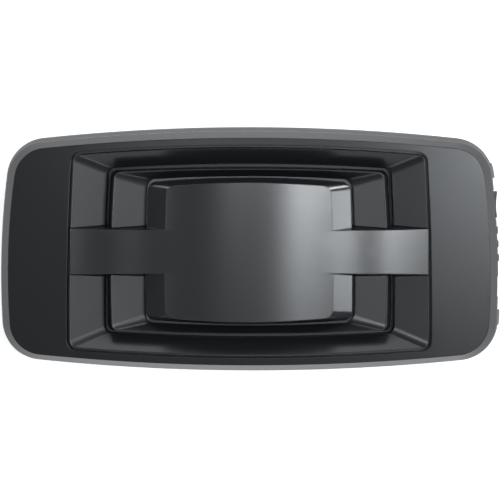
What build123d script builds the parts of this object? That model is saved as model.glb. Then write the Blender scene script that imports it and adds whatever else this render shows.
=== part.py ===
"""Garage door controller: a stepped-face casing on a slide-off bracket, with what it holds inside."""
from build123d import *
from dataclasses import dataclass
import math
import os

# Axes: +Z out of the front face, +X to its right, +Y to its top edge; Z zero is the wall plane.
# Values ending in share are shares of the size they follow; all the others are millimetres or counts.

# Casing
casing_width = 167.4
casing_height = 82.4
casing_side_bow = 2.3
casing_end_bow = 4.8
casing_corner = 14.0
top_narrowing_share = 0.018
standoff_gap = 0.8
widest_level = 13.0
parting_level = 20.5
bevel_foot_level = 24.0
face_level = 29.5
face_dome_radius = 2200.0
back_inset = 3.2
back_edge_radius = 2.2
ridge_radius = 14.0
parting_inset = 1.5
housing_wall = 1.6
housing_floor = 2.0
bezel_wall = 2.7
bezel_skin = 2.2
bevel_side_width = 4.0
bevel_end_width = 2.5
tongue_depth = 2.4
overrun = 1.0
least_corner = 0.4
part_gap = 0.15
moving_gap = 0.35

# Recess and its frame
recess_width_share = 0.718
recess_height_share = 0.8535
recess_side_bow = 0.6
recess_end_bow = 2.5
recess_corner = 3.4
collar_wall = 1.6
collar_foot_level = 22.4
frame_gap = 0.85
frame_rim = 0.2
frame_rim_level = 28.4
frame_wall = 1.6
frame_skin = 1.8
frame_flange_reach = 1.5
frame_flange_thickness = 1.5

# Trench between frame and ring
trench_side_gap = 1.0
trench_end_gap = 1.3
trench_side_bow = 0.5
trench_end_bow = 1.6
trench_corner = 2.4
trench_lip_level = 24.0

# Inner ring
ring_width_share = 0.5454
ring_height_share = 0.665
ring_side_draft = 1.35
ring_end_draft = 0.25
ring_side_bow = 0.7
ring_end_bow = 1.2
ring_corner = 2.3
ring_crest_level = 28.2
ring_crest_rim = 0.3
ring_wall = 1.5
ring_skin = 1.5
ring_mouth_width_share = 0.414
ring_mouth_height_share = 0.602
ring_mouth_side_bow = 0.5
ring_mouth_end_bow = 1.1
ring_mouth_corner = 2.9
ring_foot_level = 24.7
ring_flange_level = 14.6
ring_flange_thickness = 1.4
ring_flange_reach = 1.8
catch_length = 6.0
catch_height = 0.9
catch_reach = 0.7
catch_shares = [(-0.55, 1), (0.0, 1), (0.55, 1), (-0.55, -1), (0.0, -1), (0.55, -1)]

# Centre panel with its cross band
panel_width_share = 0.3315
panel_height_share = 0.568
panel_side_bow = 0.3
panel_end_bow = 1.6
panel_corner = 2.6
panel_edge_level = 31.2
panel_base_gap = 0.6
panel_base_corner = 2.9
panel_base_level = 22.0
panel_flank_level = 26.6
panel_flange_thickness = 1.4
panel_skin = 1.8
crown_level = 33.5
crown_radius = 170.0
band_height_share = 0.1833
band_draft_deg = 10.0
band_start_share = 0.2867
band_plateau_share = 0.4779
band_plateau_level = 30.45
band_plateau_fall_deg = 1.5
band_end_level = 28.5
band_end_fall_deg = 10.0
arm_foot_level = 22.7
arm_wall = 1.5
arm_hollow_start_share = 0.442
arm_hollow_end_share = 0.681

# Light guide in the trench
guide_gap = 0.1
guide_top_level = 18.6
guide_foot_width = 4.0
guide_foot_thickness = 0.9
guide_foot_level = 11.6
guide_foot_shares = [(-0.62, 1), (0.0, 1), (0.62, 1), (-0.62, -1), (0.0, -1), (0.62, -1)]

# Circuit board and its posts
board_left_inset = 18.7
board_right_inset = 11.2
board_height_share = 0.7524
board_corner = 2.0
board_level = 8.0
board_thickness = 1.6
board_post_radius = 3.0
board_screw_radius = 1.25
board_screw_head_radius = 2.4
board_screw_head_height = 1.6
board_screw_length = 6.0
board_post_inset_x = 13.5
board_post_inset_y = 5.0

# Casing screws and bosses
boss_inset = 12.2
boss_y_share = 0.643
boss_radius = 4.2
boss_joint_level = 12.0
boss_hole_radius = 1.6
counterbore_radius = 3.3
counterbore_level = 6.0
pilot_radius = 1.55
pilot_depth = 8.0
bezel_boss_radius = 3.4
casing_screw_radius = 1.5
casing_screw_head_radius = 2.8
casing_screw_head_height = 2.0
casing_screw_length = 12.0
cross_recess_width = 0.9
cross_recess_length = 3.2
cross_recess_depth = 1.1

# Stiffening ribs in the casing
rib_thickness = 1.2
bezel_rib_depth = 3.0
bezel_rib_shares = [-0.6, -0.2, 0.2, 0.6]

# Side bay on the right with button, lights and power inlet
bay_top_share = 0.58
bay_foot_share = -0.4927
bay_depth = 0.6
bay_floor_level = 4.2
shoulder_height = 5.0
shoulder_rise = 0.05
shoulder_low_level = 5.0
shoulder_high_level = 18.5
control_level = 13.0

# Settings button
button_y_share = 0.364
button_length_share = 0.2184
button_height = 5.0
button_corner = 2.0
button_proud = 0.5
button_travel = 0.6
button_flange_rim = 1.2
button_flange_thickness = 1.2
button_dish_depth = 0.35
button_dish_radius = 22.0
stem_radius = 1.4

# Tact switch
switch_size = 6.0
switch_depth = 3.6
switch_inset = 8.7
plunger_radius = 1.7
plunger_bore_depth = 1.6
plunger_length = 2.4
switch_leg_width = 0.7
switch_leg_thickness = 0.3
switch_leg_spacing = 4.5

# Status lights
light_count = 3
light_spacing_share = 0.1117
light_first_share = 0.1553
pipe_radius = 1.25
pipe_gap = 0.05
pipe_proud = 0.25
pipe_back_inset = 7.3
pipe_flange_radius = 1.75
pipe_flange_thickness = 1.0
status_chip_depth = 1.6
status_chip_width = 3.0
status_chip_height = 1.4
status_post_height = 2.2
status_inset = 8.5

# Power inlet
jack_y_share = -0.3034
jack_width = 9.0
jack_height = 10.4
jack_length = 13.5
jack_bore_radius = 2.8
jack_bore_depth = 9.5
jack_pin_radius = 1.0
jack_pin_recess = 1.2
jack_collar_radius = 4.0

# Sounder at the left end
sounder_radius = 6.5
sounder_depth = 4.0
sounder_level = 11.2
sounder_inset = 9.1
sounder_port_radius = 1.6
sounder_seal_thickness = 0.8
sounder_seal_width = 1.4
cradle_thickness = 1.4
cradle_rise = 1.6
sound_slot_count = 5
sound_slot_width = 1.4
sound_slot_height = 7.0
sound_slot_pitch = 2.6

# Mounting bracket
bracket_width_share = 0.5496
bracket_height = 46.0
bracket_corner = 5.0
bracket_thickness = 2.4
pocket_gap = 0.6
pocket_ceiling_level = 3.6
pocket_skin = 2.0
bracket_hole_spacing_x = 60.0
bracket_hole_spacing_y = 30.0
bracket_hole_radius = 2.2
bracket_sink_radius = 4.0
bracket_sink_depth = 1.2
hook_inset = 8.0
hook_high_y = 4.0
hook_low_y = -11.0
hook_width = 8.0
hook_stem = 2.0
hook_lip = 4.0
hook_lip_thickness = 1.4
slot_side_gap = 0.6
tongue_width = 12.0
tongue_length = 20.0
tongue_slit = 1.2
bump_radius = 1.2
bump_rise = 0.7
bracket_window_width = 18.0
bracket_window_height = 10.0

# Radio and processor parts on the board
module_width = 18.0
module_length = 25.5
module_thickness = 0.8
module_share = (-0.53, 0.29)
module_can_height = 2.4
module_can_margin = 1.2
module_antenna_length = 6.2
can_edge_radius = 0.4
radio_can_width = 15.0
radio_can_length = 13.0
radio_can_height = 2.2
radio_share = (0.56, 0.452)
chip_size = 10.0
chip_thickness = 1.4
chip_standoff = 0.1
chip_lead_count = 8
chip_lead_width = 0.4
chip_lead_reach = 1.0
chip_lead_thickness = 0.2
chip_share = (0.084, 0.194)
crystal_length = 9.0
crystal_width = 3.6
crystal_height = 2.6
crystal_share = (0.084, 0.516)

# Aerial wires
aerial_wire_radius = 0.5
aerial_rise = 2.2
aerial_bend = 2.0
aerial_start_share = (0.643, 0.774)
aerial_end_share = 0.168

# Power parts
capacitor_radius = 3.2
capacitor_height = 4.6
capacitor_base = 0.8
capacitor_shares = [(0.78, -0.19), (0.78, -0.5), (0.61, -0.61)]
inductor_size = 7.0
inductor_height = 3.2
inductor_core_radius = 2.6
inductor_share = (0.615, -0.226)
regulator_size = 5.0
regulator_height = 1.5
regulator_shares = [(0.48, -0.32), (0.48, -0.61), (0.28, -0.39)]
flash_led_width = 3.5
flash_led_length = 2.8
flash_led_height = 0.9


@dataclass(frozen=True)
class Outline:
    """A closed outline of four shallow arcs with round corners, a little narrower at its top."""
    half_width: float
    half_height: float
    side_bow: float
    end_bow: float
    corner: float

    def inset(self, gap):
        """The same outline moved inwards by a gap, or outwards by a negative one."""
        return Outline(self.half_width - gap, self.half_height - gap,
                       self.side_bow, self.end_bow, max(self.corner - gap, least_corner))

    def side_x(self, y):
        """Where the right side runs at height y, measured on its arc."""
        corner_y = self.half_height - self.end_bow
        bowed = self.half_width - self.side_bow * (y / corner_y) ** 2
        return bowed * (1 - top_narrowing_share * 2 * y / casing_height)

    def face(self, level):
        corner_x = self.half_width - self.side_bow
        corner_y = self.half_height - self.end_bow
        narrowing = top_narrowing_share * 2 * corner_y / casing_height
        top_right = (corner_x * (1 - narrowing), corner_y)
        top_left = (-top_right[0], corner_y)
        foot_right = (corner_x * (1 + narrowing), -corner_y)
        foot_left = (-foot_right[0], -corner_y)
        sides = [
            ThreePointArc(foot_right, (self.half_width, 0), top_right),
            ThreePointArc(top_right, (0, self.half_height), top_left),
            ThreePointArc(top_left, (-self.half_width, 0), foot_left),
            ThreePointArc(foot_left, (0, -self.half_height), foot_right),
        ]
        flat = make_face(Curve() + sides)
        return Pos(0, 0, level) * fillet(flat.vertices(), self.corner)


half_width = casing_width / 2
half_height = casing_height / 2
casing = Outline(half_width, half_height, casing_side_bow, casing_end_bow, casing_corner)
casing_back = casing.inset(back_inset)
casing_parting = casing.inset(parting_inset)
bevel_top = Outline(casing_parting.half_width - bevel_side_width, casing_parting.half_height - bevel_end_width,
                    casing_side_bow, casing_end_bow, casing_corner - bevel_side_width)
recess = Outline(half_width * recess_width_share, half_height * recess_height_share,
                 recess_side_bow, recess_end_bow, recess_corner)
frame_edge = recess.inset(frame_gap)
ring_edge = Outline(half_width * ring_width_share, half_height * ring_height_share,
                    ring_side_bow, ring_end_bow, ring_corner)
ring_foot = Outline(ring_edge.half_width + ring_side_draft, ring_edge.half_height + ring_end_draft,
                    ring_side_bow, ring_end_bow, ring_corner)
trench = Outline(ring_foot.half_width + trench_side_gap, ring_foot.half_height + trench_end_gap,
                 trench_side_bow, trench_end_bow, trench_corner)
ring_mouth = Outline(half_width * ring_mouth_width_share, half_height * ring_mouth_height_share,
                     ring_mouth_side_bow, ring_mouth_end_bow, ring_mouth_corner)
panel_edge = Outline(half_width * panel_width_share, half_height * panel_height_share,
                     panel_side_bow, panel_end_bow, panel_corner)
panel_base = Outline(ring_mouth.half_width - panel_base_gap, ring_mouth.half_height - panel_base_gap,
                     panel_side_bow, panel_end_bow, panel_base_corner)

band_height = casing_height * band_height_share
band_start = half_width * band_start_share
band_plateau = half_width * band_plateau_share
board_left = board_left_inset - half_width
board_right = half_width - board_right_inset
board_half_height = half_height * board_height_share
boss_x = half_width - boss_inset
boss_y = half_height * boss_y_share
board_post_x = boss_x - board_post_inset_x
board_post_y = board_half_height - board_post_inset_y
bay_top = half_height * bay_top_share
bay_foot = half_height * bay_foot_share
button_y = half_height * button_y_share
button_length = half_height * button_length_share
switch_front = half_width - switch_inset
status_front = half_width - status_inset
jack_y = half_height * jack_y_share
sounder_back = sounder_inset - half_width
bracket_width = casing_width * bracket_width_share
hook_x = bracket_width / 2 - hook_inset
hook_places = [(side * hook_x, y) for side in (-1, 1) for y in (hook_high_y, hook_low_y)]
floor_level = standoff_gap + housing_floor
board_top = board_level + board_thickness
ring_flange_top = ring_flange_level + ring_flange_thickness
band_end = frame_edge.half_width


def prism(outline, low, high):
    """Upright walls on an outline."""
    return extrude(outline.face(low), high - low)


def drafted(low_outline, low, high_outline, high):
    """Sloped walls from one outline to another."""
    return loft([low_outline.face(low), high_outline.face(high)], ruled=True)


def dome(radius, crown):
    """A lying round bar along Y, whose uppermost line is at the crown level."""
    return Pos(0, 0, crown - radius) * Rot(90, 0, 0) * Cylinder(radius, 2 * casing_height)


def block(low, high):
    """An upright block between two corners."""
    size = [b - a for a, b in zip(low, high)]
    middle = [(a + b) / 2 for a, b in zip(low, high)]
    return Pos(*middle) * Box(*size)


def post(x, y, low, high, radius):
    """An upright round post."""
    return Pos(x, y, (low + high) / 2) * Cylinder(radius, high - low)


def peg(y, z, low, high, radius):
    """A round peg lying along X."""
    return Pos((low + high) / 2, y, z) * Rot(0, 90, 0) * Cylinder(radius, high - low)


def round_tile(width, length, thickness, corner):
    """A flat tile with round corners, standing on zero."""
    return extrude(RectangleRounded(width, length, corner), thickness)


def mirrored_places(x, y):
    """The four places that mirror one another about both middle lines."""
    return [(x, y), (-x, y), (-x, -y), (x, -y)]


def casing_form(gap):
    """The rear casing's outer form, moved inwards by a gap."""
    lower = drafted(casing_back.inset(gap), standoff_gap, casing.inset(gap), widest_level)
    return lower + drafted(casing.inset(gap), widest_level, casing_parting.inset(gap), parting_level)


def bay_block(margin):
    """The side bay's stretch of the right wall, grown by a margin."""
    return block((casing_width / 4, bay_foot - margin, bay_floor_level - margin),
                 (casing_width, bay_top + margin, parting_level + overrun))


def casing_side_x(y, z, gap):
    """Where the casing's right side stands, moved inwards by a gap, at a place along the bay and a height."""
    if z < widest_level:
        lean = back_inset * (widest_level - z) / (widest_level - standoff_gap)
    else:
        lean = parting_inset * (z - widest_level) / (parting_level - widest_level)
    return casing.inset(lean + gap).side_x(y)


def side_plane(x, y, z):
    """Upright plane facing +X, with its first axis along Y."""
    return Plane(origin=(x, y, z), x_dir=(0, 1, 0), z_dir=(1, 0, 0))


def band_prism(spread, low, high):
    """A long bar along X with the drafted sides of the cross band."""
    slope = math.tan(math.radians(band_draft_deg))
    low_half = band_height / 2 + spread + (band_end_level - low) * slope
    high_half = band_height / 2 + spread + (band_end_level - high) * slope
    section = Plane.YZ * Polygon((-low_half, low), (low_half, low), (high_half, high), (-high_half, high),
                                 align=None)
    return extrude(section, casing_width / 2, both=True)


def crown_height(x):
    """Height of the drum's surface at a distance from its middle line."""
    return crown_level - crown_radius + math.sqrt(crown_radius ** 2 - x ** 2)


def band_profile():
    """Region under the cross band's whole top line, down to its foot."""
    start_fall = math.asin(band_start / crown_radius)
    plateau_fall = math.radians(band_plateau_fall_deg)
    end_fall = math.radians(band_end_fall_deg)
    start = (band_start, crown_height(band_start))
    plateau = (band_plateau, band_plateau_level)
    end = (band_end, band_end_level)
    crown = ThreePointArc((-start[0], start[1]), (0, crown_level), start)
    inner = Spline(start, plateau, tangents=[(math.cos(start_fall), -math.sin(start_fall)),
                                             (math.cos(plateau_fall), -math.sin(plateau_fall))])
    outer = Spline(plateau, end, tangents=[(math.cos(plateau_fall), -math.sin(plateau_fall)),
                                           (math.cos(end_fall), -math.sin(end_fall))])
    under = Polyline(end, (band_end, arm_foot_level), (-band_end, arm_foot_level), (-band_end, band_end_level))
    left = [mirror(inner, Plane.YZ), mirror(outer, Plane.YZ)]
    return Plane.XZ * make_face(Curve() + [crown, inner, outer, under] + left)


def make_rear_housing():
    form = casing_form(0)
    body = fillet(form.edges().filter_by_position(Axis.Z, widest_level, widest_level), ridge_radius)
    body = fillet(body.faces().sort_by(Axis.Z)[0].edges(), back_edge_radius)
    for low_y in (bay_top, bay_foot - shoulder_height):
        body += casing_form(-shoulder_rise) & block(
            (casing_width / 4, low_y, shoulder_low_level),
            (casing_width, low_y + shoulder_height, shoulder_high_level))
    body -= bay_block(0) - casing_form(bay_depth)
    room = casing_form(housing_wall) - block((-casing_width, -casing_height, 0),
                                             (casing_width, casing_height, floor_level))
    room -= bay_block(housing_wall) - casing_form(housing_wall + bay_depth)
    body -= room
    pocket_lid = pocket_ceiling_level + pocket_skin
    lid_half_x = bracket_width / 2 + pocket_gap + pocket_skin
    lid_half_y = bracket_height / 2 + pocket_gap + pocket_skin + hook_lip + moving_gap
    lid = block((-lid_half_x, -lid_half_y, standoff_gap + housing_floor / 2),
                (lid_half_x, lid_half_y, pocket_lid))
    body += lid & casing_form(housing_wall / 2)
    body -= make_bracket_pocket()
    for x, y in hook_places:
        body -= hook_slot(x, y)
    for x, y in mirrored_places(boss_x, boss_y):
        body += post(x, y, standoff_gap + housing_floor / 2, boss_joint_level, boss_radius)
        body -= post(x, y, 0, counterbore_level, counterbore_radius)
        body -= post(x, y, 0, boss_joint_level + overrun, boss_hole_radius)
    for x, y in mirrored_places(board_post_x, board_post_y):
        body += post(x, y, floor_level - housing_floor / 2, board_level, board_post_radius)
        body -= post(x, y, board_top - board_screw_length - part_gap, board_level + overrun,
                     board_screw_radius + part_gap / 3)
    sound_collar = peg(0, sounder_level, -casing_width / 2, sounder_front_x() - sounder_seal_thickness,
                       sounder_radius)
    sound_collar -= peg(0, sounder_level, -casing_width, casing_width, sounder_radius - sounder_seal_width)
    body += (sound_collar & casing_form(housing_wall / 2)) + make_sounder_cradle()
    body -= make_sound_slots()
    body -= side_openings()
    return body


def make_bracket_pocket():
    """Shallow pocket in the casing's back, longer than the bracket by its sliding travel."""
    travel = hook_lip + moving_gap
    low = (-bracket_width / 2 - pocket_gap, -bracket_height / 2 - pocket_gap - travel)
    high = (bracket_width / 2 + pocket_gap, bracket_height / 2 + pocket_gap)
    flat = Pos((low[0] + high[0]) / 2, (low[1] + high[1]) / 2, 0) * RectangleRounded(
        high[0] - low[0], high[1] - low[1], bracket_corner)
    return extrude(flat, pocket_ceiling_level)


def hook_slot(x, y):
    """Slot that a bracket hook's lip passes through when the casing is slid off."""
    low_y = y - hook_lip - 2 * moving_gap
    high_y = y + hook_stem + moving_gap
    half = hook_width / 2 + slot_side_gap
    return block((x - half, low_y, pocket_ceiling_level - overrun),
                 (x + half, high_y, pocket_ceiling_level + pocket_skin + overrun))


def side_openings():
    """Holes through the bay wall for the button, the status lights and the power inlet."""
    inner_x = casing_side_x(bay_top, floor_level, bay_depth + housing_wall) - overrun
    cut_length = casing_width / 2 + overrun - inner_x
    window = RectangleRounded(button_length + 2 * moving_gap, button_height + 2 * moving_gap,
                              button_corner + moving_gap)
    holes = extrude(side_plane(inner_x, button_y, control_level) * window, cut_length)
    for y in light_places():
        holes += peg(y, control_level, inner_x, inner_x + cut_length, pipe_radius + pipe_gap)
    holes += peg(jack_y, jack_axis_level(), inner_x, inner_x + cut_length, jack_collar_radius)
    return holes


def light_places():
    return [half_height * (light_first_share - light_spacing_share * place) for place in range(light_count)]


def jack_axis_level():
    return board_top + jack_height / 2


def sounder_front_x():
    return sounder_back - sounder_depth


def make_sounder_cradle():
    """Half ring that holds the sounder against the left wall."""
    holder = peg(0, sounder_level, sounder_back + part_gap, sounder_back + cradle_thickness + part_gap,
                 sounder_radius + cradle_rise)
    keep = block((sounder_back - overrun, -sounder_radius - cradle_rise, floor_level - housing_floor / 2),
                 (sounder_back + 2 * cradle_thickness, sounder_radius + cradle_rise, sounder_level))
    window = peg(0, sounder_level, sounder_back - overrun, sounder_back + 3 * cradle_thickness,
                 sounder_radius - cradle_rise)
    base = block((sounder_back + part_gap, -sounder_radius - cradle_rise, floor_level - housing_floor / 2),
                 (sounder_back + cradle_thickness + part_gap, sounder_radius + cradle_rise,
                  sounder_level - sounder_radius / 2))
    return (holder + base & keep) - window


def make_sound_slots():
    slots = Part()
    for place in range(sound_slot_count):
        y = (place - (sound_slot_count - 1) / 2) * sound_slot_pitch
        flat = side_plane(-casing_width / 2 - overrun, y, sounder_level) * SlotOverall(
            sound_slot_height, sound_slot_width, rotation=90)
        slots += extrude(flat, casing_width / 2 + overrun + sounder_front_x() - sounder_seal_thickness)
    return slots


def make_front_bezel():
    skirt = prism(casing_parting, parting_level, bevel_foot_level)
    shoulder = drafted(casing_parting, bevel_foot_level, bevel_top, face_level + overrun)
    body = (skirt + shoulder) & dome(face_dome_radius, face_level)
    room = prism(casing_parting.inset(bezel_wall), parting_level, bevel_foot_level)
    room += drafted(casing_parting.inset(bezel_wall), bevel_foot_level,
                    bevel_top.inset(bezel_wall), face_level + overrun)
    room = room & dome(face_dome_radius, face_level - bezel_skin)
    body -= room
    collar = prism(recess.inset(-collar_wall), collar_foot_level, face_level)
    body += collar & dome(face_dome_radius, face_level - bezel_skin / 2)
    tongue = prism(casing_parting.inset(housing_wall + part_gap), parting_level - tongue_depth,
                   parting_level + overrun)
    tongue -= prism(casing_parting.inset(bezel_wall), parting_level - 2 * tongue_depth,
                    parting_level + 2 * overrun)
    body += tongue
    for share in bezel_rib_shares:
        body += bezel_rib(share * casing_width / 2) & (room + tongue)
    for x, y in mirrored_places(boss_x, boss_y):
        body += post(x, y, boss_joint_level, face_level - bezel_skin, bezel_boss_radius)
        body -= post(x, y, boss_joint_level - overrun, boss_joint_level + pilot_depth, pilot_radius)
    body -= prism(recess, parting_level - overrun, face_level + overrun)
    body -= block((casing_width / 4, bay_foot - housing_wall, parting_level - tongue_depth - overrun),
                  (casing_width, bay_top + housing_wall, parting_level))
    return body


def bezel_rib(x):
    """Thin rib between the bezel's outer wall and the recess collar, above and below the recess."""
    return block((x - rib_thickness / 2, -casing_height / 2, bevel_foot_level - bezel_rib_depth / 2),
                 (x + rib_thickness / 2, casing_height / 2, face_level))


def funnel(mouth, mouth_level, rim, rim_level):
    """Open space above four mitred slopes that fall from a rim to a mouth."""
    slope_height = rim_level - mouth_level
    space = drafted(mouth, mouth_level, rim, rim_level)
    return space + prism(rim, rim_level, rim_level + slope_height)


def make_step_frame():
    foot = ring_flange_top
    body = prism(frame_edge, foot, frame_rim_level)
    slopes = funnel(trench, trench_lip_level, frame_edge.inset(frame_rim), frame_rim_level)
    body -= slopes
    body -= prism(trench, foot - overrun, trench_lip_level)
    channel = prism(frame_edge.inset(frame_wall), foot, frame_rim_level)
    channel -= prism(trench.inset(-frame_wall), foot - overrun, frame_rim_level + overrun)
    body -= channel - Pos(0, 0, -frame_skin) * slopes
    skirt_foot = collar_foot_level - frame_flange_thickness
    outside = prism(frame_edge.inset(-overrun), foot, skirt_foot)
    body -= outside - prism(frame_edge.inset(frame_wall), foot, skirt_foot)
    flange = prism(frame_edge.inset(-frame_flange_reach), skirt_foot, collar_foot_level)
    flange -= prism(frame_edge.inset(frame_wall), skirt_foot - overrun, collar_foot_level + overrun)
    body += flange
    body -= band_prism(part_gap, arm_foot_level - moving_gap, face_level)
    return body


def make_step_ring():
    body = prism(ring_foot, ring_flange_level, trench_lip_level)
    body += drafted(ring_foot, trench_lip_level, ring_edge, ring_crest_level)
    slopes = funnel(ring_mouth, ring_foot_level, ring_edge.inset(ring_crest_rim), ring_crest_level)
    body -= slopes
    body -= prism(ring_mouth, ring_flange_level - overrun, ring_foot_level)
    channel = prism(ring_edge.inset(ring_wall), panel_base_level, ring_crest_level)
    channel -= prism(ring_mouth.inset(-ring_wall), panel_base_level - overrun, ring_crest_level + overrun)
    body -= channel - Pos(0, 0, -ring_skin) * slopes
    body -= prism(ring_edge.inset(ring_wall), ring_flange_level - overrun, panel_base_level)
    flange = prism(trench.inset(-ring_flange_reach), ring_flange_level, ring_flange_top)
    flange -= prism(ring_edge.inset(ring_wall), ring_flange_level - overrun, ring_flange_top + overrun)
    body += flange
    inner_half = ring_edge.half_height - ring_wall
    for x_share, side in catch_shares:
        x = x_share * ring_edge.half_width
        outer_y = side * (inner_half + ring_wall / 2)
        inner_y = side * (inner_half - ring_end_bow - catch_reach)
        catch_top = panel_base_level - panel_flange_thickness - part_gap / 3
        catch = block((x - catch_length / 2, min(outer_y, inner_y), catch_top - catch_height),
                      (x + catch_length / 2, max(outer_y, inner_y), catch_top))
        body += catch & prism(ring_edge.inset(ring_wall / 2), ring_flange_level, panel_base_level)
    for x_share, side in guide_foot_shares:
        body -= guide_foot(x_share, side, part_gap, ring_flange_level - overrun, ring_flange_top + overrun)
    body -= band_prism(part_gap, arm_foot_level - moving_gap, face_level)
    return body


def guide_foot(x_share, side, gap, low, high):
    """One foot of the light guide, standing in the middle of the trench above its lamp."""
    x = x_share * ring_edge.half_width
    middle = (trench.half_height + ring_foot.half_height) / 2 - trench_end_bow * x_share ** 2
    half_thickness = guide_foot_thickness / 2 + gap
    half_span = guide_foot_width / 2 + gap
    return block((x - half_span, side * middle - half_thickness, low),
                 (x + half_span, side * middle + half_thickness, high))


def make_light_guide():
    body = prism(trench.inset(guide_gap), ring_flange_top, guide_top_level)
    body -= prism(ring_foot.inset(-guide_gap), ring_flange_top - overrun, guide_top_level + overrun)
    for x_share, side in guide_foot_shares:
        body += guide_foot(x_share, side, 0, guide_foot_level, ring_flange_top + overrun / 2)
    return body


def make_centre_panel():
    top_level = crown_level + overrun
    rise_share = (top_level - panel_flank_level) / (panel_edge_level - panel_flank_level)
    crown_outline = Outline(
        panel_base.half_width + (panel_edge.half_width - panel_base.half_width) * rise_share,
        panel_base.half_height + (panel_edge.half_height - panel_base.half_height) * rise_share,
        panel_side_bow, panel_end_bow, panel_corner)
    drum = drafted(panel_base, panel_flank_level, crown_outline, top_level) & dome(crown_radius, crown_level)
    drum += prism(panel_base, panel_base_level, panel_flank_level)
    flange_edge = ring_edge.inset(ring_wall + guide_gap)
    flange_foot = panel_base_level - panel_flange_thickness
    body = drum + prism(flange_edge, flange_foot, panel_base_level)
    band = extrude(band_profile(), casing_height / 2, both=True) & band_prism(0, arm_foot_level, top_level)
    arm_hollow = block((half_width * arm_hollow_start_share, -band_height, arm_foot_level - overrun),
                       (half_width * arm_hollow_end_share, band_height, band_end_level - panel_skin))
    arm_hollow = arm_hollow & band_prism(-arm_wall, arm_foot_level - overrun, face_level)
    band -= arm_hollow + mirror(arm_hollow, Plane.YZ)
    body -= band_prism(0, arm_foot_level, top_level)
    body += band
    hollow_level = panel_flank_level - panel_skin / 2
    hollow = drafted(panel_base.inset(panel_skin), hollow_level,
                     crown_outline.inset(panel_skin), top_level - panel_skin / 2)
    hollow = hollow & dome(crown_radius - panel_skin, crown_level - panel_skin)
    body -= hollow + prism(panel_base.inset(panel_skin), flange_foot, hollow_level)
    return body


def make_circuit_board():
    middle_x = (board_left + board_right) / 2
    flat = Pos(middle_x, 0, board_level) * RectangleRounded(board_right - board_left, 2 * board_half_height,
                                                            board_corner)
    body = extrude(flat, board_thickness)
    reach = boss_radius + 2 * part_gap
    notch = block((boss_x - reach, boss_y - reach, 0), (casing_width, casing_height, board_top + overrun))
    for corner in (notch, mirror(notch, Plane.YZ), mirror(notch, Plane.XZ),
                   mirror(mirror(notch, Plane.YZ), Plane.XZ)):
        body -= corner
    for x, y in mirrored_places(board_post_x, board_post_y):
        body -= post(x, y, board_level - overrun, board_top + overrun, board_screw_radius + part_gap)
    return body


def make_screw(x, y, seat, length, radius, head_radius, head_height, down):
    """A pan-head screw with a cross recess; its shank runs down or up from the seat."""
    shank_end = seat - length if down else seat + length
    head_end = seat + head_height if down else seat - head_height
    body = post(x, y, min(seat, shank_end), max(seat, shank_end), radius)
    head = post(x, y, min(seat, head_end), max(seat, head_end), head_radius)
    body += head
    recess_low = head_end - cross_recess_depth if down else head_end
    recess_high = head_end if down else head_end + cross_recess_depth
    long_reach = cross_recess_length / 2
    short_reach = cross_recess_width / 2
    for reach_x, reach_y in ((long_reach, short_reach), (short_reach, long_reach)):
        body -= block((x - reach_x, y - reach_y, recess_low), (x + reach_x, y + reach_y, recess_high))
    return body


def make_casing_screws():
    return [make_screw(x, y, counterbore_level, casing_screw_length, casing_screw_radius,
                       casing_screw_head_radius, casing_screw_head_height, False)
            for x, y in mirrored_places(boss_x, boss_y)]


def make_board_screws():
    return [make_screw(x, y, board_top, board_screw_length - part_gap, board_screw_radius,
                       board_screw_head_radius, board_screw_head_height, True)
            for x, y in mirrored_places(board_post_x, board_post_y)]


def button_face_x():
    """How far out the settings button stands at rest."""
    return casing_side_x(button_y, control_level, bay_depth) + button_proud


def make_settings_button():
    face_x = button_face_x()
    flange_foot = control_level - button_height / 2 - button_flange_rim
    flange_end_y = button_y + button_length / 2 + button_flange_rim
    flange_x = casing_side_x(flange_end_y, flange_foot, bay_depth + housing_wall) - moving_gap
    cap = extrude(side_plane(flange_x, button_y, control_level)
                  * RectangleRounded(button_length, button_height, button_corner), face_x - flange_x)
    dish_middle = face_x - button_dish_depth + button_dish_radius
    dish = Pos(dish_middle, button_y, control_level) * Cylinder(button_dish_radius, casing_height)
    cap -= dish
    flange = extrude(side_plane(flange_x - button_flange_thickness, button_y, control_level)
                     * RectangleRounded(button_length + 2 * button_flange_rim,
                                        button_height + 2 * button_flange_rim, button_corner),
                     button_flange_thickness)
    stem_end = switch_front + plunger_length - plunger_bore_depth
    stem = peg(button_y, control_level, stem_end, flange_x - button_flange_thickness / 2, stem_radius)
    return cap + flange + stem


def make_tact_switch():
    half = switch_size / 2
    body = block((switch_front - switch_depth, button_y - half, control_level - half),
                 (switch_front, button_y + half, control_level + half))
    body -= peg(button_y, control_level, switch_front - plunger_bore_depth - button_travel - moving_gap,
                switch_front + overrun, plunger_radius + moving_gap)
    rear = switch_front - switch_depth
    for side in (-1, 1):
        y = button_y + side * switch_leg_spacing / 2
        body += block((rear, y - switch_leg_width / 2, board_top),
                      (rear + switch_leg_thickness, y + switch_leg_width / 2, control_level))
        body += block((rear - switch_leg_width, y - switch_leg_width / 2, board_top),
                      (rear + switch_leg_thickness, y + switch_leg_width / 2, board_top + switch_leg_thickness))
    return body


def make_switch_plunger():
    inner = switch_front - plunger_bore_depth
    return peg(button_y, control_level, inner, inner + plunger_length, plunger_radius)


def make_status_light_pipes():
    pipes = []
    for y in light_places():
        outer_x = casing_side_x(y, control_level, bay_depth) + pipe_proud
        flange_foot = control_level - pipe_flange_radius
        flange_x = casing_side_x(y, flange_foot, bay_depth + housing_wall) - pipe_gap
        pipe = peg(y, control_level, half_width - pipe_back_inset, outer_x, pipe_radius)
        pipe += peg(y, control_level, flange_x - pipe_flange_thickness, flange_x, pipe_flange_radius)
        pipes.append(pipe)
    return pipes


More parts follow.
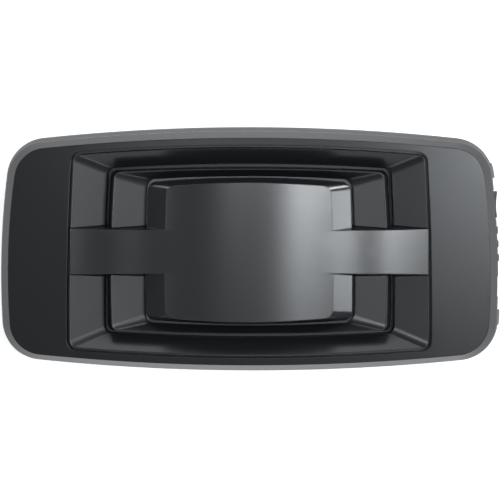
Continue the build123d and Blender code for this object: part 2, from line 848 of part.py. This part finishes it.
def make_status_lamps():
    lamps = []
    for y in light_places():
        low_x = status_front - status_chip_depth
        half = status_chip_width / 2
        chip = block((low_x, y - half, control_level - status_chip_height / 2),
                     (status_front, y + half, control_level + status_chip_height / 2))
        riser = block((low_x - status_chip_depth / 2, y - half, board_top),
                      (low_x, y + half, control_level + status_chip_height / 2))
        foot = block((low_x - status_post_height, y - half, board_top),
                     (low_x, y + half, board_top + status_chip_height / 2))
        lamps.append(chip + riser + foot)
    return lamps


def jack_front_x():
    """Where the inlet's square body stops, just inside the bay wall."""
    corner_y = jack_y - jack_width / 2
    gap = bay_depth + housing_wall
    return min(casing_side_x(corner_y, board_top, gap),
               casing_side_x(corner_y, board_top + jack_height, gap)) - part_gap


def jack_nose_x():
    """Where the inlet's round nose ends, flush with the bay's floor."""
    return casing_side_x(jack_y, jack_axis_level() + jack_collar_radius, bay_depth)


def make_power_jack():
    front = jack_front_x()
    axis_level = jack_axis_level()
    body = block((front - jack_length, jack_y - jack_width / 2, board_top),
                 (front, jack_y + jack_width / 2, board_top + jack_height))
    upper = [edge for edge in body.edges().filter_by(Axis.X) if edge.center().Z > axis_level]
    body = fillet(upper, jack_width / 4)
    nose_end = jack_nose_x()
    body += peg(jack_y, axis_level, front - overrun, nose_end, jack_collar_radius - part_gap)
    body -= peg(jack_y, axis_level, nose_end - jack_bore_depth, nose_end + overrun, jack_bore_radius)
    return body


def make_jack_pin():
    nose_end = jack_nose_x()
    foot = nose_end - jack_bore_depth
    body = peg(jack_y, jack_axis_level(), foot, nose_end - jack_pin_recess, jack_pin_radius)
    tip = body.faces().sort_by(Axis.X)[-1].edges()
    return fillet(tip, jack_pin_radius / 2)


def make_sounder():
    body = peg(0, sounder_level, sounder_back - sounder_depth, sounder_back, sounder_radius)
    body -= peg(0, sounder_level, sounder_back - sounder_depth - overrun, sounder_back - sounder_depth / 2,
                sounder_port_radius)
    return body


def make_sounder_seal():
    front = sounder_back - sounder_depth
    body = peg(0, sounder_level, front - sounder_seal_thickness, front, sounder_radius)
    body -= peg(0, sounder_level, front - 2 * sounder_seal_thickness, front + overrun,
                sounder_radius - sounder_seal_width)
    return body


def make_mounting_bracket():
    plate = round_tile(bracket_width, bracket_height, bracket_thickness, bracket_corner)
    for x, y in mirrored_places(bracket_hole_spacing_x / 2, bracket_hole_spacing_y / 2):
        plate -= post(x, y, -overrun, bracket_thickness + overrun, bracket_hole_radius)
        sink = Pos(x, y, bracket_thickness - bracket_sink_depth / 2) * Cone(
            bracket_hole_radius, bracket_sink_radius, bracket_sink_depth)
        plate -= sink
    slit_outer = tongue_width / 2 + tongue_slit
    tongue_low = -tongue_length / 2
    slit = block((-slit_outer, tongue_low - tongue_slit, -overrun),
                 (slit_outer, tongue_length / 2, bracket_thickness + overrun))
    slit -= block((-tongue_width / 2, tongue_low, -overrun),
                  (tongue_width / 2, tongue_length / 2 + overrun, bracket_thickness + overrun))
    plate -= slit
    window_x = bracket_hole_spacing_x / 4 + bracket_window_width / 4
    for side in (-1, 1):
        window = Pos(side * window_x, 0, 0) * round_tile(bracket_window_width / 2, bracket_window_height,
                                                         bracket_thickness, bracket_corner / 4)
        plate -= window
    bump_level = bracket_thickness + bump_rise - bump_radius
    bump = Pos(0, tongue_low + 2 * bump_radius, bump_level) * Sphere(bump_radius)
    bump = bump & block((-bump_radius, tongue_low, bracket_thickness / 2),
                        (bump_radius, tongue_length, bracket_thickness + bump_rise))
    plate += bump
    for x, y in hook_places:
        plate += make_hook(x, y)
    return plate


def make_hook(x, y):
    """L-shaped hook whose lip lies over the casing's pocket ceiling."""
    lip_low = pocket_ceiling_level + pocket_skin + moving_gap
    stem = block((x - hook_width / 2, y, bracket_thickness / 2),
                 (x + hook_width / 2, y + hook_stem, lip_low + hook_lip_thickness))
    lip = block((x - hook_width / 2, y, lip_low),
                (x + hook_width / 2, y + hook_stem + hook_lip, lip_low + hook_lip_thickness))
    return stem + lip


def on_board(share, rise):
    """A place above the board, from its shares of the board's reach to the right and to the top."""
    return Pos(board_right * share[0], board_half_height * share[1], board_top + rise)


def make_wifi_module():
    tile = round_tile(module_width, module_length, module_thickness, can_edge_radius)
    return on_board(module_share, 0) * tile


def make_wifi_shield():
    length = module_length - module_antenna_length - 2 * module_can_margin
    body = round_tile(module_width - 2 * module_can_margin, length, module_can_height, can_edge_radius)
    body = fillet(body.faces().sort_by(Axis.Z)[-1].edges(), can_edge_radius / 2)
    return on_board(module_share, module_thickness) * Pos(0, -module_antenna_length / 2, 0) * body


def make_radio_shield():
    body = round_tile(radio_can_width, radio_can_length, radio_can_height, can_edge_radius)
    body = fillet(body.faces().sort_by(Axis.Z)[-1].edges(), can_edge_radius / 2)
    return on_board(radio_share, 0) * body


def make_processor_chip():
    half = chip_size / 2
    body = block((-half, -half, chip_standoff), (half, half, chip_standoff + chip_thickness))
    pitch = chip_size / (chip_lead_count + 1)
    reach = half + chip_lead_reach
    lead_top = chip_standoff + chip_lead_thickness
    for place in range(chip_lead_count):
        low = (place - (chip_lead_count - 1) / 2) * pitch - chip_lead_width / 2
        body += block((-reach, low, 0), (reach, low + chip_lead_width, lead_top))
        body += block((low, -reach, 0), (low + chip_lead_width, reach, lead_top))
    return on_board(chip_share, 0) * body


def make_crystal_can():
    return on_board(crystal_share, 0) * extrude(SlotOverall(crystal_length, crystal_width), crystal_height)


def make_aerial_wires():
    """Two wire aerials that rise from the board and run along its top and bottom edges."""
    wires = []
    start_x = board_right * aerial_start_share[0]
    end_x = board_right * aerial_end_share
    for side in (-1, 1):
        y = side * board_half_height * aerial_start_share[1]
        high = board_top + aerial_rise
        path = FilletPolyline((start_x, y, board_top), (start_x, y, high),
                              (end_x, y, high), (end_x, y, board_top), radius=aerial_bend)
        section = Plane(origin=(start_x, y, board_top), z_dir=(0, 0, 1)) * Circle(aerial_wire_radius)
        wires.append(sweep(section, path=path))
    return wires


def make_capacitors():
    base = round_tile(2 * capacitor_radius, 2 * capacitor_radius, capacitor_base, can_edge_radius)
    can = post(0, 0, capacitor_base / 2, capacitor_height, capacitor_radius - part_gap)
    can = fillet(can.faces().sort_by(Axis.Z)[-1].edges(), can_edge_radius)
    return [on_board(share, 0) * (base + can) for share in capacitor_shares]


def make_inductor():
    body = round_tile(inductor_size, inductor_size, inductor_height, inductor_size / 6)
    body -= post(0, 0, inductor_height - chip_lead_thickness, inductor_height + overrun, inductor_core_radius)
    return on_board(inductor_share, 0) * body


def make_regulator_chips():
    half = regulator_size / 2
    chip = block((-half, -half / 2, 0), (half, half / 2, regulator_height))
    return [on_board(share, 0) * chip for share in regulator_shares]


def make_flash_lamps():
    lamps = []
    for x_share, side in guide_foot_shares:
        x = x_share * ring_edge.half_width
        y = side * ((trench.half_height + ring_foot.half_height) / 2 - trench_end_bow * x_share ** 2)
        lamps.append(block((x - flash_led_width / 2, y - flash_led_length / 2, board_top),
                           (x + flash_led_width / 2, y + flash_led_length / 2, board_top + flash_led_height)))
    return lamps


nodes = {
    "front_bezel": make_front_bezel,
    "step_frame": make_step_frame,
    "step_ring": make_step_ring,
    "centre_panel": make_centre_panel,
    "light_guide": make_light_guide,
    "rear_housing": make_rear_housing,
    "casing_screws": make_casing_screws,
    "mounting_bracket": make_mounting_bracket,
    "settings_button": make_settings_button,
    "tact_switch": make_tact_switch,
    "switch_plunger": make_switch_plunger,
    "status_light_pipes": make_status_light_pipes,
    "status_lamps": make_status_lamps,
    "power_jack": make_power_jack,
    "jack_pin": make_jack_pin,
    "sounder": make_sounder,
    "sounder_seal": make_sounder_seal,
    "circuit_board": make_circuit_board,
    "board_screws": make_board_screws,
    "wifi_module": make_wifi_module,
    "wifi_shield": make_wifi_shield,
    "radio_shield": make_radio_shield,
    "processor_chip": make_processor_chip,
    "crystal_can": make_crystal_can,
    "aerial_wires": make_aerial_wires,
    "capacitors": make_capacitors,
    "inductor": make_inductor,
    "regulator_chips": make_regulator_chips,
    "flash_lamps": make_flash_lamps,
}

os.makedirs("parts", exist_ok=True)
for name, make in nodes.items():
    made = make()
    solids = made if isinstance(made, list) else [made]
    pieces = [solid for piece in solids for solid in piece.solids()]
    whole = pieces[0] if len(pieces) == 1 else Compound(children=pieces)
    whole.label = name
    export_step(whole, f"parts/{name}.step")
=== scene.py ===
"""Looks of the garage door controller: finishes on the CAD nodes, chips on its board, studio and camera."""
import bpy
import math
from mathutils import Matrix, Vector


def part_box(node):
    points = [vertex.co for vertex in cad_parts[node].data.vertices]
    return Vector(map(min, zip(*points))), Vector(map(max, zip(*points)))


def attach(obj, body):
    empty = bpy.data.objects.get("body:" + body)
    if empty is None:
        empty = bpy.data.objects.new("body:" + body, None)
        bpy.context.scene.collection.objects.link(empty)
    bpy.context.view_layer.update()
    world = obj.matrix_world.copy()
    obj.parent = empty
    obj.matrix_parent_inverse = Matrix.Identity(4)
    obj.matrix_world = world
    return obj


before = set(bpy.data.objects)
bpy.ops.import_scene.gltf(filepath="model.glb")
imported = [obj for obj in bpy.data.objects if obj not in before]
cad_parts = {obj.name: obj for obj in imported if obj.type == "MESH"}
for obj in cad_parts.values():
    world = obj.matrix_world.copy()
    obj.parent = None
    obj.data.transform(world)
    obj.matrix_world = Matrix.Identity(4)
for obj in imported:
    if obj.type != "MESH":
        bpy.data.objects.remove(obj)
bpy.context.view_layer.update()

MM = 0.001


# Helpers for node trees

def add_node(tree, kind, **values):
    """A node with its own settings and the values of its unlinked inputs."""
    node = tree.nodes.new(kind)
    for key, value in values.items():
        if hasattr(node, key):
            setattr(node, key, value)
        else:
            node.inputs[key.replace("_", " ")].default_value = value
    return node


def calculate(tree, operation, *terms):
    """The result of one sum, whose terms are numbers or other nodes' outputs."""
    node = add_node(tree, "ShaderNodeMath", operation=operation)
    for socket, term in zip(node.inputs, terms):
        if isinstance(term, (int, float)):
            socket.default_value = term
        else:
            tree.links.new(term, socket)
    return node.outputs[0]


def combine(tree, x=None, y=None, z=None):
    """A vector from other nodes' outputs; a side that is left out is zero."""
    node = tree.nodes.new("ShaderNodeCombineXYZ")
    for socket, value in zip(node.inputs, (x, y, z)):
        if value is not None:
            tree.links.new(value, socket)
    return node.outputs[0]


# Shader node groups that several finishes share

NOISE_MIDDLE = 0.5


def new_group(name, inputs, outputs):
    """A shader group with number inputs and the outputs asked for; returns the tree and its two ends."""
    tree = bpy.data.node_groups.new(name, "ShaderNodeTree")
    for label, value in inputs.items():
        socket = tree.interface.new_socket(label, in_out="INPUT", socket_type="NodeSocketFloat")
        socket.default_value = value
    for label, kind in outputs.items():
        tree.interface.new_socket(label, in_out="OUTPUT", socket_type=kind)
    return tree, tree.nodes.new("NodeGroupInput"), tree.nodes.new("NodeGroupOutput")


def make_mould_grain():
    """Fine spark-eroded grain with a slow change of gloss, as on moulded plastic."""
    tree, start, end = new_group(
        "mould_grain",
        {"Grain per metre": 4000.0, "Grain depth": 0.5, "Roughness": 0.3, "Roughness change": 0.05},
        {"Height": "NodeSocketFloat", "Roughness": "NodeSocketFloat"})
    given = start.outputs
    place = tree.nodes.new("ShaderNodeTexCoord")
    grain = add_node(tree, "ShaderNodeTexNoise", Detail=3.0, Roughness=0.6)
    clouds = add_node(tree, "ShaderNodeTexNoise", Scale=55.0, Detail=2.0)
    link = tree.links.new
    for pattern in (grain, clouds):
        link(place.outputs["Object"], pattern.inputs["Vector"])
    link(given["Grain per metre"], grain.inputs["Scale"])
    height = calculate(tree, "MULTIPLY", grain.outputs["Fac"], given["Grain depth"])
    swing = calculate(tree, "SUBTRACT", clouds.outputs["Fac"], NOISE_MIDDLE)
    roughness = calculate(tree, "MULTIPLY_ADD", swing, given["Roughness change"], given["Roughness"])
    link(height, end.inputs["Height"])
    link(roughness, end.inputs["Roughness"])
    return tree


def make_soft_edge():
    """A softly rounded look on sharp edges."""
    tree, start, end = new_group("soft_edge", {"Radius": 0.4 * MM}, {"Normal": "NodeSocketVector"})
    rounded = add_node(tree, "ShaderNodeBevel", samples=6)
    tree.links.new(start.outputs["Radius"], rounded.inputs["Radius"])
    tree.links.new(rounded.outputs["Normal"], end.inputs["Normal"])
    return tree


mould_grain = make_mould_grain()
soft_edge = make_soft_edge()


def place_group(tree, group, **values):
    """A shader group placed in a material, with the values of its inputs."""
    node = tree.nodes.new("ShaderNodeGroup")
    node.node_tree = group
    for key, value in values.items():
        node.inputs[key.replace("_", " ")].default_value = value
    return node


# Kinds of finish

def new_material(name):
    material = bpy.data.materials.new(name)
    material.use_nodes = True
    return material, material.node_tree, material.node_tree.nodes["Principled BSDF"]


def grain_surface(tree, shader, strength, depth, edge, **grain):
    """Grain, gloss and rounded edges on a shader; depth and edge are in millimetres."""
    surface = place_group(tree, mould_grain, **grain)
    bump = add_node(tree, "ShaderNodeBump", Strength=strength, Distance=depth * MM)
    link = tree.links.new
    link(surface.outputs["Roughness"], shader.inputs["Roughness"])
    link(surface.outputs["Height"], bump.inputs["Height"])
    if edge:
        edges = place_group(tree, soft_edge, Radius=edge * MM)
        link(edges.outputs["Normal"], bump.inputs["Normal"])
    link(bump.outputs["Normal"], shader.inputs["Normal"])


def moulded_plastic(name, colour, roughness, grain=4000.0, grain_depth=0.6, change=0.05, edge=0.4,
                    specular=0.5):
    """Moulded plastic with fine grain, a slow change of gloss and softly rounded edges."""
    material, tree, shader = new_material(name)
    shader.inputs["Base Color"].default_value = (*colour, 1)
    shader.inputs["Specular IOR Level"].default_value = specular
    grain_surface(tree, shader, strength=0.25, depth=0.02, edge=edge, Grain_per_metre=grain,
                  Grain_depth=grain_depth, Roughness=roughness, Roughness_change=change)
    return material


def plated_metal(name, colour, roughness):
    """Pressed or plated metal with a fine uneven gloss."""
    material, tree, shader = new_material(name)
    shader.inputs["Base Color"].default_value = (*colour, 1)
    shader.inputs["Metallic"].default_value = 1.0
    grain_surface(tree, shader, strength=0.3, depth=0.02, edge=0.15, Grain_per_metre=2500.0,
                  Grain_depth=0.8, Roughness=roughness, Roughness_change=0.12)
    return material


TRACK_SCALE = 330.0
TRACK_SHARE_START = 0.72
TURNED_PATCH_START = 0.5
ROUTED_PATCH_START = 0.55
MASK_GREEN = (0.011, 0.078, 0.033, 1)
TRACK_GREEN = (0.024, 0.135, 0.052, 1)


def solder_mask():
    """Green board laminate; copper tracks show faintly under its mask, along the board or across it."""
    material, tree, shader = new_material("board_green")
    place = tree.nodes.new("ShaderNodeTexCoord")
    along = add_node(tree, "ShaderNodeTexWave", bands_direction="Y", Scale=TRACK_SCALE)
    across = add_node(tree, "ShaderNodeTexWave", bands_direction="X", Scale=TRACK_SCALE)
    patches = add_node(tree, "ShaderNodeTexVoronoi", distance="CHEBYCHEV", Scale=140.0)
    patch = tree.nodes.new("ShaderNodeSeparateColor")
    either = add_node(tree, "ShaderNodeMix", data_type="FLOAT")
    green = add_node(tree, "ShaderNodeMix", data_type="RGBA", A=MASK_GREEN, B=TRACK_GREEN)
    link = tree.links.new
    for pattern in (along, across, patches):
        link(place.outputs["Object"], pattern.inputs["Vector"])
    link(patches.outputs["Color"], patch.inputs["Color"])
    turned = calculate(tree, "GREATER_THAN", patch.outputs["Red"], TURNED_PATCH_START)
    routed = calculate(tree, "GREATER_THAN", patch.outputs["Green"], ROUTED_PATCH_START)
    for source, socket in zip((turned, None, along.outputs["Fac"], across.outputs["Fac"]), either.inputs):
        if source:
            link(source, socket)
    track = calculate(tree, "GREATER_THAN", either.outputs[0], TRACK_SHARE_START)
    link(calculate(tree, "MULTIPLY", track, routed), green.inputs["Factor"])
    link(green.outputs["Result"], shader.inputs["Base Color"])
    grain_surface(tree, shader, strength=0.2, depth=0.04, edge=0, Grain_per_metre=900.0,
                  Grain_depth=0.4, Roughness=0.35, Roughness_change=0.08)
    return material


# Finishes, and the CAD parts from model.glb that each one goes on

CHARCOAL = (0.0125, 0.0140, 0.0160)
face_finish = moulded_plastic("charcoal_face", CHARCOAL, 0.21, grain_depth=0.25, change=0.03, specular=0.32)
step_finish = moulded_plastic("charcoal_steps", CHARCOAL, 0.28, grain_depth=0.2, change=0.03)
panel_finish = moulded_plastic("charcoal_panel", (0.0130, 0.0145, 0.0170), 0.21, grain_depth=0.2,
                               change=0.02, specular=0.7)
rear_finish = moulded_plastic("charcoal_rear", (0.020, 0.021, 0.023), 0.55, grain=1500.0, grain_depth=1.0)
bracket_finish = moulded_plastic("charcoal_bracket", (0.022, 0.023, 0.025), 0.6, grain=1200.0,
                                 grain_depth=1.0)
guide_finish = moulded_plastic("smoked_guide", (0.004, 0.004, 0.005), 0.4, edge=0)
button_finish = moulded_plastic("button_grey", (0.060, 0.062, 0.066), 0.45)
pipe_finish = moulded_plastic("smoked_pipe", (0.090, 0.096, 0.100), 0.15, edge=0.1)
lamp_finish = moulded_plastic("lamp_body", (0.75, 0.73, 0.62), 0.35, edge=0.1)
chip_finish = moulded_plastic("moulded_black", (0.012, 0.012, 0.012), 0.55, grain=3000.0,
                              grain_depth=1.0, edge=0.1)
jack_finish = moulded_plastic("inlet_black", (0.014, 0.014, 0.015), 0.45, edge=0.2)
seal_finish = moulded_plastic("foam_seal", (0.02, 0.02, 0.02), 0.95, grain=2600.0, grain_depth=3.0, edge=0.2)
can_finish = plated_metal("tinned_can", (0.60, 0.61, 0.62), 0.32)
screw_finish = plated_metal("zinc_screw", (0.46, 0.47, 0.49), 0.30)
board_finish = solder_mask()

FINISHES = {
    face_finish: ["front_bezel"],
    step_finish: ["step_frame", "step_ring"],
    panel_finish: ["centre_panel"],
    guide_finish: ["light_guide"],
    rear_finish: ["rear_housing"],
    bracket_finish: ["mounting_bracket"],
    button_finish: ["settings_button", "switch_plunger"],
    pipe_finish: ["status_light_pipes"],
    lamp_finish: ["status_lamps", "flash_lamps"],
    chip_finish: ["tact_switch", "sounder", "processor_chip", "inductor", "regulator_chips"],
    jack_finish: ["power_jack"],
    seal_finish: ["sounder_seal"],
    can_finish: ["jack_pin", "wifi_shield", "radio_shield", "crystal_can", "aerial_wires", "capacitors"],
    screw_finish: ["casing_screws", "board_screws"],
    board_finish: ["circuit_board", "wifi_module"],
}
for finish, names in FINISHES.items():
    for name in names:
        for material_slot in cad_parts[name].material_slots:
            material_slot.material = finish


# Rows of small chip resistors on the circuit board, left of its processor

BOARD_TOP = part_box("circuit_board")[1][2]
CHIP_ROWS = {
    "Columns": 5, "Rows": 9, "Pitch": 3.4 * MM,
    "Length": 1.6 * MM, "Width": 0.8 * MM, "Height": 0.45 * MM, "Cap": 0.3 * MM, "Cap rise": 0.03 * MM,
    "Share fitted": 0.72, "Seed": 7, "Place": (-13.0 * MM, -2.0 * MM, BOARD_TOP),
}
SOCKET_KINDS = {int: "NodeSocketInt", float: "NodeSocketFloat", tuple: "NodeSocketVector"}
CAP_MARK = "tinned"
QUARTER_TURN = math.pi / 2


def make_chip(tree, sizes):
    """One chip resistor: a body with a marked cap over each end. Returns it and the height of its caps."""
    link = tree.links.new
    body_length = calculate(tree, "SUBTRACT", sizes["Length"], sizes["Cap"])
    cap_width = calculate(tree, "ADD", sizes["Width"], sizes["Cap rise"])
    cap_height = calculate(tree, "ADD", sizes["Height"], sizes["Cap rise"])
    body = tree.nodes.new("GeometryNodeMeshCube")
    cap = tree.nodes.new("GeometryNodeMeshCube")
    link(combine(tree, body_length, sizes["Width"], sizes["Height"]), body.inputs["Size"])
    link(combine(tree, sizes["Cap"], cap_width, cap_height), cap.inputs["Size"])
    marked = add_node(tree, "GeometryNodeStoreNamedAttribute", data_type="BOOLEAN", domain="FACE")
    marked.inputs["Name"].default_value = CAP_MARK
    marked.inputs["Value"].default_value = True
    link(cap.outputs["Mesh"], marked.inputs["Geometry"])
    chip = tree.nodes.new("GeometryNodeJoinGeometry")
    half_length = calculate(tree, "DIVIDE", body_length, 2)
    for side in (-1, 1):
        moved = tree.nodes.new("GeometryNodeTransform")
        link(combine(tree, calculate(tree, "MULTIPLY", half_length, side)), moved.inputs["Translation"])
        link(marked.outputs["Geometry"], moved.inputs["Geometry"])
        link(moved.outputs["Geometry"], chip.inputs["Geometry"])
    link(body.outputs["Mesh"], chip.inputs["Geometry"])
    return chip.outputs["Geometry"], cap_height


def place_chips(tree, sizes, chip, chip_height):
    """Chips on a grid of places: some places stay empty, and some chips lie across."""
    link = tree.links.new
    grid = tree.nodes.new("GeometryNodeMeshGrid")
    for axis, count in (("X", "Columns"), ("Y", "Rows")):
        link(sizes[count], grid.inputs["Vertices " + axis])
        steps = calculate(tree, "SUBTRACT", sizes[count], 1)
        link(calculate(tree, "MULTIPLY", steps, sizes["Pitch"]), grid.inputs["Size " + axis])
    fitted = add_node(tree, "FunctionNodeRandomValue", data_type="BOOLEAN")
    link(sizes["Share fitted"], fitted.inputs["Probability"])
    link(sizes["Seed"], fitted.inputs["Seed"])
    across = add_node(tree, "FunctionNodeRandomValue", data_type="BOOLEAN")
    link(calculate(tree, "ADD", sizes["Seed"], 1), across.inputs["Seed"])
    turn = calculate(tree, "MULTIPLY", across.outputs[3], QUARTER_TURN)
    placed = tree.nodes.new("GeometryNodeInstanceOnPoints")
    link(grid.outputs["Mesh"], placed.inputs["Points"])
    link(fitted.outputs[3], placed.inputs["Selection"])
    link(chip, placed.inputs["Instance"])
    link(combine(tree, z=turn), placed.inputs["Rotation"])
    raised = tree.nodes.new("ShaderNodeVectorMath")
    link(sizes["Place"], raised.inputs[0])
    link(combine(tree, z=calculate(tree, "DIVIDE", chip_height, 2)), raised.inputs[1])
    lifted = tree.nodes.new("GeometryNodeTransform")
    link(raised.outputs[0], lifted.inputs["Translation"])
    link(placed.outputs["Instances"], lifted.inputs["Geometry"])
    return lifted.outputs["Geometry"]


def chip_rows_tree(body_material, cap_material):
    """The whole tree: chips in rows, made real, with a material on their bodies and one on their caps."""
    tree = bpy.data.node_groups.new("chip_rows", "GeometryNodeTree")
    tree.is_modifier = True
    for label, value in CHIP_ROWS.items():
        tree.interface.new_socket(label, in_out="INPUT", socket_type=SOCKET_KINDS[type(value)])
    tree.interface.new_socket("Geometry", in_out="OUTPUT", socket_type="NodeSocketGeometry")
    sizes = tree.nodes.new("NodeGroupInput").outputs
    end = tree.nodes.new("NodeGroupOutput")
    link = tree.links.new
    chip, chip_height = make_chip(tree, sizes)
    solid = tree.nodes.new("GeometryNodeRealizeInstances")
    link(place_chips(tree, sizes, chip, chip_height), solid.inputs["Geometry"])
    capped = add_node(tree, "GeometryNodeInputNamedAttribute", data_type="BOOLEAN", Name=CAP_MARK)
    on_bodies = add_node(tree, "GeometryNodeSetMaterial", Material=body_material)
    on_caps = add_node(tree, "GeometryNodeSetMaterial", Material=cap_material)
    link(solid.outputs["Geometry"], on_bodies.inputs["Geometry"])
    link(on_bodies.outputs["Geometry"], on_caps.inputs["Geometry"])
    link(capped.outputs["Attribute"], on_caps.inputs["Selection"])
    link(on_caps.outputs["Geometry"], end.inputs["Geometry"])
    return tree


def make_board_chips():
    """The chip rows as one plain mesh that goes with the casing."""
    tree = chip_rows_tree(chip_finish, can_finish)
    maker = bpy.data.objects.new("chip_maker", bpy.data.meshes.new("chip_maker"))
    bpy.context.scene.collection.objects.link(maker)
    rows = maker.modifiers.new("chip_rows", "NODES")
    rows.node_group = tree
    for socket in tree.interface.items_tree:
        if socket.in_out == "INPUT":
            rows[socket.identifier] = CHIP_ROWS[socket.name]
    evaluated = maker.evaluated_get(bpy.context.evaluated_depsgraph_get())
    mesh = bpy.data.meshes.new_from_object(evaluated)
    bpy.data.objects.remove(maker)
    chips = bpy.data.objects.new("board_chips", mesh)
    bpy.context.scene.collection.objects.link(chips)
    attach(chips, "casing")


make_board_chips()


# Studio

FACE = Vector((0.0, 0.0, 28.0 * MM))
LAMP_DISTANCE = 1.5
LAMP_COLOUR = (0.93, 0.97, 1.0)
# name, degrees from the face's normal, degrees round it from the right, width, height, power
LAMPS = [
    ("key_panel", 12.2, 12.0, 0.27, 0.18, 3.2),
    ("key_band", 20.8, 8.0, 0.16, 0.20, 3.0),
    ("front_soft", 3.4, 108.0, 0.36, 0.12, 0.9),
    ("right_slopes", 38.5, 3.0, 0.30, 0.28, 1.6),
    ("left_slopes", 32.2, 172.0, 0.20, 0.20, 2.8),
    ("right_flank", 79.0, 2.0, 0.45, 0.40, 5.6),
    ("right_low", 78.0, 38.0, 0.45, 0.40, 9.0),
    ("upper_right", 60.0, 62.0, 0.45, 0.40, 3.5),
    ("upper_corner", 82.0, 138.0, 0.30, 0.40, 1.6),
    ("head_low", 69.0, 90.0, 1.20, 0.60, 5.0),
    ("foot_low", 69.0, 270.0, 1.20, 0.60, 5.0),
    ("under", 170.0, 90.0, 1.20, 0.80, 10.0),
]


def make_lamps():
    """Softboxes round the object, all turned to the middle of its face."""
    for name, from_normal, around, width, height, power in LAMPS:
        lean = math.radians(from_normal)
        turn = math.radians(around)
        way = Vector((math.sin(lean) * math.cos(turn), math.sin(lean) * math.sin(turn), math.cos(lean)))
        lamp = bpy.data.lights.new(name, "AREA")
        lamp.shape = "RECTANGLE"
        lamp.size = width
        lamp.size_y = height
        lamp.energy = power
        lamp.color = LAMP_COLOUR
        holder = bpy.data.objects.new(name, lamp)
        bpy.context.scene.collection.objects.link(holder)
        holder.location = FACE + way * LAMP_DISTANCE
        holder.rotation_mode = "QUATERNION"
        holder.rotation_quaternion = (-way).to_track_quat("-Z", "Y")


TABLE_REACH = 12.0
TABLE_LEVEL = -0.5 * MM
TABLE_GREY = 0.9
TABLE_ROUGHNESS = 0.8
TABLE_GLOW = 0.6
WORLD_STRENGTH = 0.2


def white_table():
    """White as the camera and mirrors see it; open to the camera and to light from below."""
    material, tree, shader = new_material("white_table")
    shader.inputs["Base Color"].default_value = (TABLE_GREY, TABLE_GREY, TABLE_GREY, 1)
    shader.inputs["Roughness"].default_value = TABLE_ROUGHNESS
    shader.inputs["Specular IOR Level"].default_value = 0.0
    shader.inputs["Emission Color"].default_value = (1, 1, 1, 1)
    path = tree.nodes.new("ShaderNodeLightPath")
    side = tree.nodes.new("ShaderNodeNewGeometry")
    clear = tree.nodes.new("ShaderNodeBsdfTransparent")
    choice = tree.nodes.new("ShaderNodeMixShader")
    link = tree.links.new
    seen = calculate(tree, "MAXIMUM", path.outputs["Is Camera Ray"], path.outputs["Is Glossy Ray"])
    seen = calculate(tree, "MAXIMUM", seen, path.outputs["Is Transmission Ray"])
    link(calculate(tree, "MULTIPLY", seen, TABLE_GLOW), shader.inputs["Emission Strength"])
    opened = calculate(tree, "MAXIMUM", side.outputs["Backfacing"], path.outputs["Is Shadow Ray"])
    for source, socket in zip((opened, shader.outputs[0], clear.outputs[0]), choice.inputs):
        link(source, socket)
    link(choice.outputs[0], tree.nodes["Material Output"].inputs["Surface"])
    return material


def make_table():
    """A wide table top just under the object, which keeps its shadow."""
    mesh = bpy.data.meshes.new("table_top")
    sides = ((-1, -1), (1, -1), (1, 1), (-1, 1))
    corners = [(x * TABLE_REACH, y * TABLE_REACH, TABLE_LEVEL) for x, y in sides]
    mesh.from_pydata(corners, [], [(0, 1, 2, 3)])
    table_top = bpy.data.objects.new("table_top", mesh)
    bpy.context.scene.collection.objects.link(table_top)
    table_top.data.materials.append(white_table())


def make_world():
    """Even pale surroundings."""
    world = bpy.data.worlds.new("studio")
    bpy.context.scene.world = world
    world.use_nodes = True
    background = world.node_tree.nodes["Background"]
    background.inputs["Color"].default_value = (1, 1, 1, 1)
    background.inputs["Strength"].default_value = WORLD_STRENGTH


make_lamps()
make_table()
make_world()


# Camera, nearly square on the face and a little towards its top edge

AIM = Vector((0.33 * MM, 0.56 * MM, 28.5 * MM))
DISTANCE = 1.0
TILT_UP_DEG = 3.5
TILT_RIGHT_DEG = 1.0
SENSOR = 36.0
FRAME_WIDTH = 165.15 * MM
CAMERA_REACH = 50.0


def make_camera():
    """A camera whose frame is as wide as FRAME_WIDTH at the face."""
    camera = bpy.data.cameras.new("camera")
    camera.sensor_width = SENSOR
    camera.lens = SENSOR * DISTANCE / FRAME_WIDTH
    camera.clip_end = CAMERA_REACH
    holder = bpy.data.objects.new("camera", camera)
    bpy.context.scene.collection.objects.link(holder)
    up = math.radians(TILT_UP_DEG)
    right = math.radians(TILT_RIGHT_DEG)
    away = Vector((math.sin(right) * math.cos(up), math.sin(up), math.cos(right) * math.cos(up)))
    across = Vector((0, 1, 0)).cross(away).normalized()
    turn = Matrix((across, away.cross(across), away)).transposed().to_4x4()
    holder.matrix_world = Matrix.Translation(AIM + away * DISTANCE) @ turn
    bpy.context.scene.camera = holder


make_camera()
bpy.context.scene.view_settings.view_transform = "Standard"
